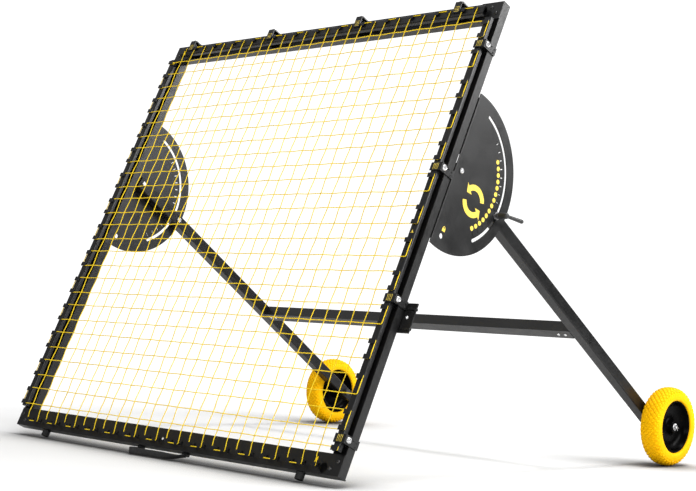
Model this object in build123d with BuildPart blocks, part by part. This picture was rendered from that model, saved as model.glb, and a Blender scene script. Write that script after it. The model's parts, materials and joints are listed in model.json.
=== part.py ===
"""A wheeled, tilting rebounder: a square steel frame strung with a ball net, two locking discs behind
its side posts, and a pair of legs with a cross bar and two wheels that swings behind the frame and sets
how far the net leans back.

World axes: +X to the object's right, the net faces -Y and up, +Z up, floor at Z = 0.
Three planes carry the parts:
  FRAME  x across, y up along the posts, z out of the net towards the player
  LEG    x across, y from the pivot down to the axle, z square to the leg, upwards
  AXLE   x across, y away from the net, z up, at the centre of the wheels
"""

from build123d import *
from math import asin, cos, radians, sin
import os

# ---------------------------------------------------------------- driving dimensions (mm, degrees)
SIZE = 1240.0                 # outer width and height of the square frame
HALF = SIZE / 2
LEAN = 24.0                   # lean of the frame from the vertical, as it stands
SHEET = 2.5                   # steel sheet of the frame
DEPTH = 25.0                  # depth of the frame's channels
POST_W = 40.0                 # width of a side post
TOP_W = 49.0                  # height of the top channel
BASE_H = 50.0                 # height of the bottom plate
GAP = 0.3                     # ordinary clearance between neighbours

CORDS = 27                    # net cords each way
MESH = 42.7                   # distance from cord to cord
FIRST_ROW = 60.0              # height of the lowest cross cord
CORD_T = 3.0                  # thickness of a cord
CORD_Z = (20.0, 23.0)         # the net lies just in front of the rails

RAIL_W = 21.0                 # hook rail, across its front
RAIL_Z = (8.0, 19.0)          # back edge and front of a hook rail
RAIL_OUT = 611.0              # outer edge of the side rails
TOP_RAIL_OUT = 1223.0         # upper edge of the top rail
RAIL_SHEET = 2.0
RAIL_BEND = 4.0               # outer radius of the folded edges of a rail
CLAMP_BEND = 2.0              # and of a tensioner
HOOK_W, HOOK_T = 6.5, 4.5     # pressed-up hook, across and along the pull of its cord
HOOK_H = 4.6                  # how far a hook stands up
LIP, LIP_T = 11.0, 1.2        # square lip on top of a hook, over its cord
SIDE_LIP = (20.0, 12.0)       # on the side rails it reaches to the rail's inner edge
HOOK_LEAN = 2.35              # the two hooks of a pair stand this much closer to each other
WINDOW = 6.5                  # hole left in the sheet beside a hook

CLAMP_PITCH = 8 * MESH        # one tensioner for every eight meshes
CLAMP_L = 21.0                # length of a tensioner along its rail
CLAMP_SHEET = 3.0
PULL_R = 3.0                  # M6 pulling bolts of the tensioners
PULL_Z = 12.0                 # their height ahead of the posts

DISC_R = 202.0
DISC_SHEET = 2.5
DISC_BEND = 2.0               # outer radius of the bend between a disc and its flange
DISC_OUT = 622.0              # outer face of a locking disc
PIVOT_Y = 791.0               # pivot of the legs above the frame's lower edge
PIVOT_Z = -47.5               # and behind the front of the posts
SLOT_R = 170.5                # lock slot about the pivot
SLOT_W = 8.8
STUD_R = 4.0                  # M8 lock stud in the slot
SLOT_ANGLES = (11.4, 137.5)   # ends of the slot, turned back from straight up the post
TICKS = 14
TICK_FIRST, TICK_STEP = 35.6, 7.77
TICK_R = (149.5, 160.0)
TICK_W = 2.4
LOCK_ANGLE = 177.5            # transport lock hole, almost straight below the pivot
LOCK_R = 6.5

LEG_W = 32.0                  # square tube of the legs and the cross bar
LEG_WALL = 2.0
LEG_OUT = 618.5               # outer face of a leg
LEG_L = 1104.0                # pivot to axle
LEG_TOP = 12.0                # how far a leg runs on past the pivot
LEG_END = 30.0                # and past the axle
BAR_AT = 650.0                # cross bar, from the pivot down the leg
BAR_STUB = 59.0               # socket welded to each leg

WHEEL_R = 109.0
WHEEL_IN = 624.5              # inner face of a tyre
TYRE_W = 58.0
RIM_R = 72.0
AXLE_R = 6.0
BORE_FIT = 0.05               # radial running clearance

FOOT_R, FOOT_H = 11.0, 17.0
FOOT_X, FOOT_Z = 493.0, -12.5
ACCESS_R = 12.0               # round access holes in the right-hand corners
BASE_HOOK_Y = 15.5            # hooks of the bottom plate
BASE_HOOK_H = 17.0            # they reach up to the net's own plane
LIP_SHIFT = 3.0               # how far the lip of every second one stands to the left
POST_BEND = 3.0               # outer radius of the folded edges of posts and top channel

# carrying strap, seen from above: x, and y from the frame's lower front edge
STRAP_ROUTE = [(-80, 2.2), (-94, -12), (-90, -19), (20, -12), (93, 2.2)]
STRAP_T = 3.0
STRAP_Z = (1.5, 18.5)

# ---------------------------------------------------------------- worked out from the above
TILT = radians(LEAN)
FRAME_UP = FOOT_H * cos(TILT) + (FOOT_R - FOOT_Z) * sin(TILT)      # feet touch the floor
PIVOT_UP = FRAME_UP + PIVOT_Y * cos(TILT) + PIVOT_Z * sin(TILT)
LEG_DROP = asin((PIVOT_UP - WHEEL_R) / LEG_L)                      # wheels touch the floor
REACH = PIVOT_Y * sin(TILT) - PIVOT_Z * cos(TILT) + LEG_L * cos(LEG_DROP) + WHEEL_R
FRONT = min(y for _, y in STRAP_ROUTE) - STRAP_T / 2 - 0.5         # foremost point of the object
SHIFT = -(REACH + FRONT) / 2                                       # origin below its middle

FRAME = Plane(origin=(0, SHIFT, FRAME_UP), x_dir=(1, 0, 0), z_dir=(0, -cos(TILT), sin(TILT)))
PIVOT = FRAME.from_local_coords(Vector(0, PIVOT_Y, PIVOT_Z))
LEG = Plane(origin=PIVOT, x_dir=(1, 0, 0), z_dir=(0, sin(LEG_DROP), cos(LEG_DROP)))
AXLE = Plane(origin=LEG.from_local_coords(Vector(0, LEG_L, 0)), x_dir=(1, 0, 0), z_dir=(0, 0, 1))

COLUMNS = [(i - (CORDS - 1) / 2) * MESH for i in range(CORDS)]
ROWS = [FIRST_ROW + i * MESH for i in range(CORDS)]
CLAMP_ROWS = [FIRST_ROW + MESH / 2 + i * CLAMP_PITCH for i in range(4)]
CLAMP_COLUMNS = [COLUMNS[0] + MESH / 2 + i * CLAMP_PITCH for i in range(4)]
SIDES = (("left", -1), ("right", 1))
ALONG_X = (0, 90, 0)
ALONG_Y = (90, 0, 0)


def save(part, label):
    """Labels a finished piece and writes it under its own name."""
    part.label = label
    export_step(part, f"parts/{label}.step")


def spanning(x, y, z, mode=Mode.ADD):
    """A box from its low and high limits along the three axes of the current plane."""
    middle = ((x[0] + x[1]) / 2, (y[0] + y[1]) / 2, (z[0] + z[1]) / 2)
    with Locations(middle):
        Box(abs(x[1] - x[0]), abs(y[1] - y[0]), abs(z[1] - z[0]), mode=mode)


def long_edges(part, along, height):
    """The edges that run along a direction of the frame at this height of it."""
    edges = part.edges().filter_by(Axis(FRAME.origin, along))
    return [edge for edge in edges if abs(FRAME.to_local_coords(edge.center()).Z - height) < 0.1]


def mirrored_span(a, b, side):
    """Limits a..b measured outwards, for the left (-1) or the right (1) side."""
    return (side * a, side * b)


# ---------------------------------------------------------------- frame
def make_posts():
    """Side posts: channels open to the front, closed at the back."""
    for name, side in SIDES:
        with BuildPart(FRAME) as post:
            length = (SHEET + GAP, SIZE)
            outer = mirrored_span(HALF - POST_W, HALF, side)
            cavity = mirrored_span(HALF - POST_W + SHEET, HALF - SHEET, side)
            spanning(outer, length, (-DEPTH, 0))
            fillet(long_edges(post, FRAME.y_dir, -DEPTH), POST_BEND)
            spanning(cavity, length, (-DEPTH + SHEET, 0), Mode.SUBTRACT)
            inner_flange = mirrored_span(HALF - POST_W, HALF - POST_W + SHEET, side)
            spanning(inner_flange, (SHEET, BASE_H + GAP), (-DEPTH, 0), Mode.SUBTRACT)
        save(post.part, f"{name}_post")


def make_top_channel():
    """Top channel between the posts, open to the front."""
    half_length = HALF - POST_W - GAP
    with BuildPart(FRAME) as channel:
        spanning((-half_length, half_length), (SIZE - TOP_W, SIZE), (-DEPTH, 0))
        fillet(long_edges(channel, FRAME.x_dir, -DEPTH), POST_BEND)
        cavity = (SIZE - TOP_W + SHEET, SIZE - SHEET)
        spanning((-half_length, half_length), cavity, (-DEPTH + SHEET, 0), Mode.SUBTRACT)
    save(channel.part, "top_channel")


def hook_spots(stops, first):
    """Hook places along a rail. A cord turns round a pair of hooks; the first pair starts at number first."""
    return [stop + (-HOOK_LEAN if (i - first) % 2 else HOOK_LEAN) for i, stop in enumerate(stops)]


def add_hooks(spots, front, outwards, lips, lip_size=(LIP, LIP), height=HOOK_H):
    """Hooks pressed up from a sheet at height front, each with the hole it came from on the net's side.
    Spots are the middles of the hooks' bases and lips those of the lips over their cords; outwards points
    away from the net."""
    size = (HOOK_W, HOOK_T) if outwards[1] else (HOOK_T, HOOK_W)
    with Locations(*[(x, y, front + height / 2) for x, y in spots]):
        Box(*size, height)
    with Locations(*[(x, y, front + height - LIP_T / 2) for x, y in lips]):
        Box(*lip_size, LIP_T)
    step = (HOOK_T + WINDOW) / 2
    with Locations(*[(x - step * outwards[0], y - step * outwards[1], front) for x, y in spots]):
        Box(WINDOW, WINDOW, 3 * SHEET, mode=Mode.SUBTRACT)


def make_bottom_channel():
    """Folded bottom sheet: a tall front plate with hooks, a floor under the posts and a back wall."""
    with BuildPart(FRAME) as channel:
        spanning((-HALF, HALF), (0, BASE_H), (GAP, SHEET))
        spanning((-HALF, HALF), (0, SHEET), (-DEPTH, SHEET))
        back = HALF - POST_W - GAP
        spanning((-back, back), (0, BASE_H), (-DEPTH, -DEPTH + SHEET))
        spots = [(x, BASE_HOOK_Y) for x in hook_spots(COLUMNS, 0)]
        spots[-1] = (COLUMNS[-1] - HOOK_LEAN, BASE_HOOK_Y)         # beside the access hole
        lips = [(x - LIP_SHIFT * (i % 2), y) for i, (x, y) in enumerate(spots)]
        add_hooks(spots, SHEET, (0, -1), lips, height=BASE_HOOK_H)
        with Locations((HALF - 51.5, 15, SHEET / 2)):
            Cylinder(ACCESS_R, 3 * SHEET, mode=Mode.SUBTRACT)
    save(channel.part, "bottom_channel")


def make_corner_plates():
    """Gusset plates across the two upper corners; the right one has a round access hole."""
    for name, side in SIDES:
        with BuildPart(FRAME) as plate:
            spanning(mirrored_span(HALF - 68, HALF, side), (SIZE - 50, SIZE), (GAP, SHEET))
            if side > 0:
                with Locations((HALF - 57, SIZE - 24, SHEET / 2)):
                    Cylinder(ACCESS_R, 3 * SHEET, mode=Mode.SUBTRACT)
        save(plate.part, f"top_{name}_corner_plate")


def make_corner_screws():
    """Pan-head screws of the four corners, two to a corner, and one in the middle of the bottom plate."""
    with BuildPart(FRAME) as screws:
        for _, side in SIDES:
            spots = [(HALF - 33, SIZE - 15), (HALF - 15, SIZE - 33), (HALF - 13, 33), (HALF - 31, 15)]
            with Locations(*[(side * x, y, SHEET + 1.5) for x, y in spots]):
                Cylinder(4.5, 3.0)
        with Locations((8, BASE_H / 2 - 2, SHEET + 1.5)):
            Cylinder(4.5, 3.0)
    save(screws.part, "corner_screws")


# ---------------------------------------------------------------- hook rails, tensioners and net
def make_side_rails():
    """Upright rails with a row of hooks that carry the cross cords."""
    for name, side in SIDES:
        with BuildPart(FRAME) as rail:
            ends = (SHEET + BASE_H, TOP_RAIL_OUT - RAIL_W - 18)
            spanning(mirrored_span(RAIL_OUT - RAIL_W, RAIL_OUT, side), ends, RAIL_Z)
            fillet(long_edges(rail, FRAME.y_dir, RAIL_Z[1]), RAIL_BEND)
            inside = mirrored_span(RAIL_OUT - RAIL_W + RAIL_SHEET, RAIL_OUT - RAIL_SHEET, side)
            spanning(inside, ends, (RAIL_Z[0], RAIL_Z[1] - RAIL_SHEET), Mode.SUBTRACT)
            x = side * (RAIL_OUT - 5.5)
            first = 1 if side > 0 else 0
            spots = [(x, y) for y in hook_spots(ROWS, first)]
            lip_x = side * (RAIL_OUT - SIDE_LIP[0] / 2 - 0.5)
            lips = [(lip_x, y) for i, (_, y) in enumerate(spots) if side < 0 or i % 4 != 3]
            add_hooks(spots, RAIL_Z[1], (side, 0), lips, SIDE_LIP)
            if side > 0:
                with Locations(*[(RAIL_OUT - 1, y, PULL_Z) for y in CLAMP_ROWS]):
                    Cylinder(PULL_R + GAP, 4, rotation=ALONG_X, mode=Mode.SUBTRACT)
        save(rail.part, f"{name}_rail")


def make_top_rail():
    """Level rail along the top with a row of hooks that carry the upright cords."""
    half_length = HALF - 42
    low = TOP_RAIL_OUT - RAIL_W - 5
    with BuildPart(FRAME) as rail:
        spanning((-half_length, half_length), (low, TOP_RAIL_OUT), RAIL_Z)
        fillet(long_edges(rail, FRAME.x_dir, RAIL_Z[1]), RAIL_BEND)
        inside = (low + RAIL_SHEET, TOP_RAIL_OUT - RAIL_SHEET)
        spanning((-half_length, half_length), inside, (RAIL_Z[0], RAIL_Z[1] - RAIL_SHEET), Mode.SUBTRACT)
        y = TOP_RAIL_OUT - 8
        spots = [(x, y) for x in hook_spots(COLUMNS, 1)]
        add_hooks(spots, RAIL_Z[1], (0, 1), spots)
        with Locations(*[(x, TOP_RAIL_OUT - 1, PULL_Z) for x in CLAMP_COLUMNS]):
            Cylinder(PULL_R + GAP, 4, rotation=ALONG_Y, mode=Mode.SUBTRACT)
    save(rail.part, "top_rail")


def make_net():
    """Ball net: cords both ways, knotted where they cross; the upright ones slope in to the bottom plate."""
    half_width = RAIL_OUT - SIDE_LIP[0] - 1
    low, high = FIRST_ROW - CORD_T / 2, TOP_RAIL_OUT - 14.5
    drop = Vector(0, BASE_HOOK_Y + LIP / 2 + 1 - low, SHEET + BASE_HOOK_H - 4 - CORD_Z[0])
    slope = Plane(
        origin=FRAME.from_local_coords(Vector(0, low, CORD_Z[0])),
        x_dir=(1, 0, 0),
        z_dir=FRAME.from_local_coords(Vector(0, drop.Z, -drop.Y)) - FRAME.origin,
    )
    with BuildPart() as net:
        with BuildSketch(FRAME.offset(CORD_Z[0])):
            for x in COLUMNS:
                with Locations((x, (low + high) / 2)):
                    Rectangle(CORD_T, high - low)
            for y in ROWS:
                with Locations((0, y)):
                    Rectangle(2 * half_width, CORD_T)
        extrude(amount=CORD_Z[1] - CORD_Z[0])
        with BuildSketch(slope):
            with Locations(*[(x, 1 - drop.length / 2) for x in COLUMNS]):
                Rectangle(CORD_T, drop.length)
        extrude(amount=CORD_T * 0.8)
    save(net.part, "net")


def make_side_tensioners():
    """Right-hand tensioners: a bent plate over the rail and round the post, with a pulling bolt."""
    front = RAIL_Z[1] + 1
    for number, y in enumerate(CLAMP_ROWS, 1):
        along = (y - CLAMP_L / 2, y + CLAMP_L / 2)
        with BuildPart(FRAME) as clamp:
            spanning((RAIL_OUT - RAIL_W - 1, HALF + CLAMP_SHEET + GAP), along, (front, front + 2))
            spanning((HALF + GAP, HALF + GAP + CLAMP_SHEET), along, (-DEPTH + 1, front + 2))
            bends = long_edges(clamp, FRAME.y_dir, front + 2)
            fillet(max(bends, key=lambda edge: edge.center().X), CLAMP_BEND)
            with Locations((HALF + 2, y, PULL_Z)):
                Cylinder(PULL_R + GAP, 8, rotation=ALONG_X, mode=Mode.SUBTRACT)
        save(clamp.part, f"side_tensioner_{number}")
    head_x = HALF + GAP + CLAMP_SHEET
    with BuildPart(FRAME) as bolts:
        with Locations(*[(head_x + 2.75, y, PULL_Z) for y in CLAMP_ROWS]):
            Cylinder(7.5, 5.5, rotation=ALONG_X)
        with Locations(*[(head_x - 11.5, y, PULL_Z) for y in CLAMP_ROWS]):
            Cylinder(PULL_R, 23, rotation=ALONG_X)
    save(bolts.part, "side_tension_bolts")
    x = head_x + 0.75
    with BuildPart(FRAME) as rivets:
        for y in CLAMP_ROWS:
            with Locations((x, y + 5, -4), (x, y + 4, -16), (x, y - 6, -15)):
                Cylinder(2.2, 1.5, rotation=ALONG_X)
    save(rivets.part, "side_tensioner_rivets")


def make_top_tensioners():
    """Upper tensioners: a bent plate over the top rail and over the top channel."""
    front = RAIL_Z[1] + 1
    top = SIZE + GAP
    for number, x in enumerate(CLAMP_COLUMNS, 1):
        across = (x - CLAMP_L / 2, x + CLAMP_L / 2)
        with BuildPart(FRAME) as clamp:
            spanning(across, (TOP_RAIL_OUT - 14, top + CLAMP_SHEET), (front, front + 2))
            spanning(across, (top, top + CLAMP_SHEET), (-DEPTH + 1, front + 2))
            bends = long_edges(clamp, FRAME.x_dir, front + 2)
            fillet(max(bends, key=lambda edge: edge.center().Z), CLAMP_BEND)
            with Locations((x, top + 1, PULL_Z)):
                Cylinder(PULL_R + GAP, 8, rotation=ALONG_Y, mode=Mode.SUBTRACT)
        save(clamp.part, f"top_tensioner_{number}")
    head_y = top + CLAMP_SHEET
    with BuildPart(FRAME) as bolts:
        with Locations(*[(x, head_y + 2.75, PULL_Z) for x in CLAMP_COLUMNS]):
            Cylinder(7.5, 5.5, rotation=ALONG_Y)
        with Locations(*[(x, head_y - 17, PULL_Z) for x in CLAMP_COLUMNS]):
            Cylinder(PULL_R, 34, rotation=ALONG_Y)
    save(bolts.part, "top_tension_bolts")


def make_rail_supports():
    """Spacers in the open channels: they hold the left rail and guide the two rails that slide."""
    floor = SHEET - DEPTH
    for name, side in SIDES:
        x = side * (RAIL_OUT - RAIL_W / 2)
        top = RAIL_Z[0] - (GAP if side > 0 else 0)
        with BuildPart(FRAME) as supports:
            with Locations(*[(x, y, (floor + top) / 2) for y in CLAMP_ROWS]):
                Box(14, CLAMP_L, top - floor)
        save(supports.part, f"{name}_rail_supports")
    with BuildPart(FRAME) as supports:
        y = TOP_RAIL_OUT - RAIL_W / 2 - 2.5
        top = RAIL_Z[0] - GAP
        with Locations(*[(x, y, (floor + top) / 2) for x in CLAMP_COLUMNS]):
            Box(CLAMP_L, 14, top - floor)
    save(supports.part, "top_rail_supports")


# ---------------------------------------------------------------- locking discs and pivots
def make_discs():
    """Locking discs behind the posts: a lock slot about the pivot, scale slits and a lock hole."""
    back = -DEPTH - GAP
    for name, side in SIDES:
        inner = DISC_OUT - DISC_SHEET
        plate_plane = Plane(
            origin=FRAME.from_local_coords(Vector(side * inner, PIVOT_Y, PIVOT_Z)),
            x_dir=-FRAME.z_dir,
            z_dir=(side, 0, 0),
        )
        # in this plane +x points away from the player; +y is up the post on the left disc, down on the right
        up = plate_plane.y_dir.dot(FRAME.y_dir)

        def turned(angle, radius):
            """A point of the disc at an angle turned back from straight up the post."""
            return (radius * sin(radians(angle)), up * radius * cos(radians(angle)))

        with BuildPart() as disc:
            with BuildSketch(plate_plane):
                Circle(DISC_R)
                with Locations((PIVOT_Z - back - DISC_R, 0)):
                    Rectangle(2 * DISC_R, 3 * DISC_R, mode=Mode.SUBTRACT)
                Circle(AXLE_R + BORE_FIT, mode=Mode.SUBTRACT)
                with Locations(turned(LOCK_ANGLE, SLOT_R)):
                    Circle(LOCK_R, mode=Mode.SUBTRACT)
                for k in range(TICKS):
                    angle = TICK_FIRST + k * TICK_STEP
                    middle = turned(angle, sum(TICK_R) / 2)
                    with Locations(Location(middle, up * (90 - angle))):
                        Rectangle(TICK_R[1] - TICK_R[0], TICK_W, mode=Mode.SUBTRACT)
            extrude(amount=DISC_SHEET)
            with BuildSketch(plate_plane):
                with BuildLine():
                    start, end = SLOT_ANGLES
                    middle = (start + end) / 2
                    ThreePointArc(turned(start, SLOT_R), turned(middle, SLOT_R), turned(end, SLOT_R))
                trace(line_width=SLOT_W)
                with Locations(turned(start, SLOT_R), turned(end, SLOT_R)):
                    Circle(SLOT_W / 2)
            extrude(amount=DISC_SHEET, mode=Mode.SUBTRACT)
        with BuildPart(FRAME) as flange:
            edge = mirrored_span(HALF - POST_W + 4, DISC_OUT, side)
            spanning(edge, (PIVOT_Y - 190, PIVOT_Y - 34), (back - DISC_SHEET, back))
            spanning(edge, (PIVOT_Y + 34, PIVOT_Y + 190), (back - DISC_SHEET, back))
        whole = disc.part + flange.part
        front_edges = long_edges(whole, FRAME.y_dir, back)
        corner = [edge for edge in front_edges if abs(edge.center().X) > DISC_OUT - 0.1]
        save(fillet(corner, DISC_BEND), f"{name}_disc")


def make_disc_bolts():
    """Low round heads that hold the disc flanges to the posts."""
    with BuildPart(FRAME) as bolts:
        for _, side in SIDES:
            for y in (-160, -70, 70, 160):
                with Locations((side * (HALF - 20), PIVOT_Y + y, -DEPTH - GAP - DISC_SHEET - 1.5)):
                    Cylinder(5.5, 3)
    save(bolts.part, "disc_bolts")


def make_pivot_bolts():
    """Bolts through the discs on which the legs turn."""
    for name, side in SIDES:
        with BuildPart(FRAME) as bolt:
            with Locations((side * (DISC_OUT + 2.5), PIVOT_Y, PIVOT_Z)):
                Cylinder(9, 5, rotation=ALONG_X)
            with Locations((side * (DISC_OUT - 22), PIVOT_Y, PIVOT_Z)):
                Cylinder(AXLE_R, 44, rotation=ALONG_X)
        save(bolt.part, f"{name}_pivot_bolt")


# ---------------------------------------------------------------- legs and cross bar
def make_legs():
    """Square-tube legs, closed at both ends, bored for pivot, lock stud and axle."""
    for name, side in SIDES:
        with BuildPart(LEG) as leg:
            x = (LEG_OUT - LEG_W / 2) * side
            length = LEG_TOP + LEG_L + LEG_END
            middle = (LEG_L + LEG_END - LEG_TOP) / 2
            with Locations((x, middle, 0)):
                Box(LEG_W, length, LEG_W)
            fillet(leg.edges().filter_by(Axis(PIVOT, LEG.y_dir)), 3)
            with Locations((x, middle, 0)):
                Box(LEG_W - 2 * LEG_WALL, length - 2 * LEG_WALL, LEG_W - 2 * LEG_WALL, mode=Mode.SUBTRACT)
            with Locations((x, 0, 0), (x, LEG_L, 0)):
                Cylinder(AXLE_R + BORE_FIT, LEG_W + 2, rotation=ALONG_X, mode=Mode.SUBTRACT)
            with Locations((x, SLOT_R, 0)):
                Cylinder(STUD_R + BORE_FIT, LEG_W + 2, rotation=ALONG_X, mode=Mode.SUBTRACT)
        save(leg.part, f"{name}_leg")


def make_cross_bar():
    """Cross bar screwed into a short socket on each leg."""
    inner_face = LEG_OUT - LEG_W
    with BuildPart(LEG) as bar:
        half_length = inner_face - BAR_STUB - GAP
        with Locations((0, BAR_AT, 0)):
            Box(2 * half_length, LEG_W, LEG_W)
            Box(2 * half_length, LEG_W - 2 * LEG_WALL, LEG_W - 2 * LEG_WALL, mode=Mode.SUBTRACT)
    save(bar.part, "cross_bar")
    for name, side in SIDES:
        with BuildPart(LEG) as socket:
            middle = side * (inner_face - BAR_STUB / 2 - GAP / 2)
            with Locations((middle, BAR_AT, 0)):
                Box(BAR_STUB - GAP, LEG_W, LEG_W)
                Box(BAR_STUB, LEG_W - 2 * LEG_WALL, LEG_W - 2 * LEG_WALL, mode=Mode.SUBTRACT)
        save(socket.part, f"{name}_bar_socket")
        with BuildPart(LEG) as spigot:
            with Locations((side * (inner_face - BAR_STUB), BAR_AT, 0)):
                Box(100, LEG_W - 2 * LEG_WALL - 0.6, LEG_W - 2 * LEG_WALL - 0.6)
        save(spigot.part, f"{name}_bar_spigot")
    with BuildPart(LEG) as screws:
        for _, side in SIDES:
            spots = [(side * 545, BAR_AT), (side * 567, BAR_AT)]
            with Locations(*[(x, y, -LEG_W / 2 - 1.25) for x, y in spots]):
                Cylinder(4.5, 2.5)
    save(screws.part, "bar_screws")


# ---------------------------------------------------------------- lock levers
def make_locks():
    """Clamping levers on studs that run through the slot of each disc into the leg."""
    for name, side in SIDES:
        with BuildPart(LEG) as stud:
            inner, outer = LEG_OUT - LEG_W - 5, 655
            with Locations((side * (inner + outer) / 2, SLOT_R, 0)):
                Cylinder(STUD_R, outer - inner, rotation=ALONG_X)
            with Locations((side * (LEG_OUT - LEG_W - 3), SLOT_R, 0)):
                Cylinder(7, 5, rotation=ALONG_X)
        save(stud.part, f"{name}_lock_stud")
        with BuildPart(LEG) as washer:
            with Locations((side * (DISC_OUT + 1.2), SLOT_R, 0)):
                Cylinder(9.5, 1.8, rotation=ALONG_X)
                Cylinder(STUD_R + BORE_FIT, 4, rotation=ALONG_X, mode=Mode.SUBTRACT)
        save(washer.part, f"{name}_lock_washer")
        with BuildPart(LEG) as lever:
            with Locations((side * 641, SLOT_R, 0)):
                Cylinder(8.5, 32, rotation=ALONG_X)
            handle = Plane(
                origin=LEG.from_local_coords(Vector(side * 651, SLOT_R, 0)),
                x_dir=(1, 0, 0),
                z_dir=LEG.from_local_coords(Vector(side * 4, 56, 26)) - LEG.origin,
            )
            with BuildSketch(handle):
                Circle(5.2)
            extrude(amount=64)
            fillet(lever.faces().sort_by(Axis(handle.origin, handle.z_dir))[-1].edges(), 3)
            with Locations((side * 640, SLOT_R, 0)):
                Cylinder(STUD_R + BORE_FIT, 60, rotation=ALONG_X, mode=Mode.SUBTRACT)
        save(lever.part, f"{name}_lock_lever")


# ---------------------------------------------------------------- wheels
def make_wheels():
    """Solid tyres on dished hubs, each turning on a bolt through the foot of its leg."""
    for name, side in SIDES:
        middle = side * (WHEEL_IN + TYRE_W / 2)
        centre = AXLE.from_local_coords(Vector(middle, 0, 0))
        section = Plane(origin=centre, x_dir=(1, 0, 0), z_dir=(0, -1, 0))
        turning = Axis(section.origin, (1, 0, 0))
        with BuildPart() as tyre:
            with BuildSketch(section):
                half = TYRE_W / 2
                shoulder, tread = WHEEL_R - 8, WHEEL_R - 1.5
                wall = WHEEL_R - 20
                with BuildLine():
                    Polyline((-half + 6, RIM_R), (-half, RIM_R + 6), (-half, wall))
                    ThreePointArc((-half, wall), (-half + 5, shoulder), (-half + 17, tread))
                    ThreePointArc((-half + 17, tread), (0, WHEEL_R), (half - 17, tread))
                    ThreePointArc((half - 17, tread), (half - 5, shoulder), (half, wall))
                    Polyline((half, wall), (half, RIM_R + 6), (half - 6, RIM_R), (-half + 6, RIM_R))
                make_face()
            revolve(axis=turning)
        save(tyre.part, f"{name}_tyre")
        with BuildPart() as hub:
            with BuildSketch(section):
                half = TYRE_W / 2 - 6
                bore = AXLE_R + BORE_FIT
                rim = [(half, RIM_R - 0.1), (half, RIM_R - 4), (5, 44)]
                boss = [(5, 22), (half - 2, 19), (half - 2, bore)]
                edge = rim + boss
                far_edge = [(-x, y) for x, y in reversed(edge)]
                with BuildLine():
                    Polyline(*edge, *far_edge, close=True)
                make_face()
            revolve(axis=turning)
        save(hub.part, f"{name}_hub")
        with BuildPart(AXLE) as bolt:
            inner, outer = LEG_OUT - LEG_W - 8, WHEEL_IN + TYRE_W - 2
            with Locations((side * (inner + outer) / 2, 0, 0)):
                Cylinder(AXLE_R, outer - inner, rotation=ALONG_X)
            with Locations((side * (LEG_OUT - LEG_W - 4.5), 0, 0)):
                Cylinder(10, 8, rotation=ALONG_X)
        save(bolt.part, f"{name}_axle")
        with BuildPart(AXLE) as nut:
            with Locations((side * (WHEEL_IN + TYRE_W - 4.5), 0, 0)):
                Cylinder(9.5, 5.5, rotation=ALONG_X)
                Cylinder(AXLE_R + BORE_FIT, 10, rotation=ALONG_X, mode=Mode.SUBTRACT)
        save(nut.part, f"{name}_axle_nut")


# ---------------------------------------------------------------- feet, carrying strap and side brackets
def make_feet():
    """Rubber feet under the bottom channel."""
    for name, side in SIDES:
        with BuildPart(FRAME) as foot:
            with Locations((side * FOOT_X, -FOOT_H / 2, FOOT_Z)):
                Cylinder(FOOT_R, FOOT_H, rotation=ALONG_Y)
        save(foot.part, f"{name}_foot")


def make_strap():
    """Carrying strap on edge in front of the bottom channel, with an anchor block under each end."""
    with BuildPart() as strap:
        with BuildSketch(Plane((0, SHIFT, STRAP_Z[0]))):
            with BuildLine():
                Polyline(*STRAP_ROUTE)
            trace(line_width=STRAP_T)
        extrude(amount=STRAP_Z[1] - STRAP_Z[0])
    save(strap.part, "carry_strap")
    with BuildPart(FRAME) as anchors:
        for x, _ in (STRAP_ROUTE[0], STRAP_ROUTE[-1]):
            spanning((x - 8, x + 8), (-7, -GAP), (-20, -8))
    save(anchors.part, "strap_anchors")


def make_side_brackets():
    """Link brackets on the back of the posts, standing out sideways."""
    for name, side in SIDES:
        with BuildPart(FRAME) as bracket:
            back = -DEPTH - GAP
            spanning(mirrored_span(HALF - 30, HALF + 32, side), (358, 432), (back - 3, back))
            for y in (368, 417):
                rib = (y - 2.5, y + 2.5)
                spanning(mirrored_span(HALF + 6, HALF + 33, side), rib, (back - 5, back + 3))
        save(bracket.part, f"{name}_side_bracket")
    with BuildPart(FRAME) as bolts:
        for _, side in SIDES:
            with Locations((side * (HALF + 13), 396, -DEPTH - GAP + 1.5)):
                Cylinder(4.5, 3)
    save(bolts.part, "side_bracket_bolts")


os.makedirs("parts", exist_ok=True)
make_posts()
make_top_channel()
make_bottom_channel()
make_corner_plates()
make_corner_screws()
make_side_rails()
make_top_rail()
make_net()
make_side_tensioners()
make_top_tensioners()
make_rail_supports()
make_discs()
make_disc_bolts()
make_pivot_bolts()
make_legs()
make_cross_bar()
make_locks()
make_wheels()
make_feet()
make_strap()
make_side_brackets()
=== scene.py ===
"""Looks of the wheeled ball rebounder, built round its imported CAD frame. Lengths are in metres."""

import json
import math

import bpy
from mathutils import Matrix, Vector


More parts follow.
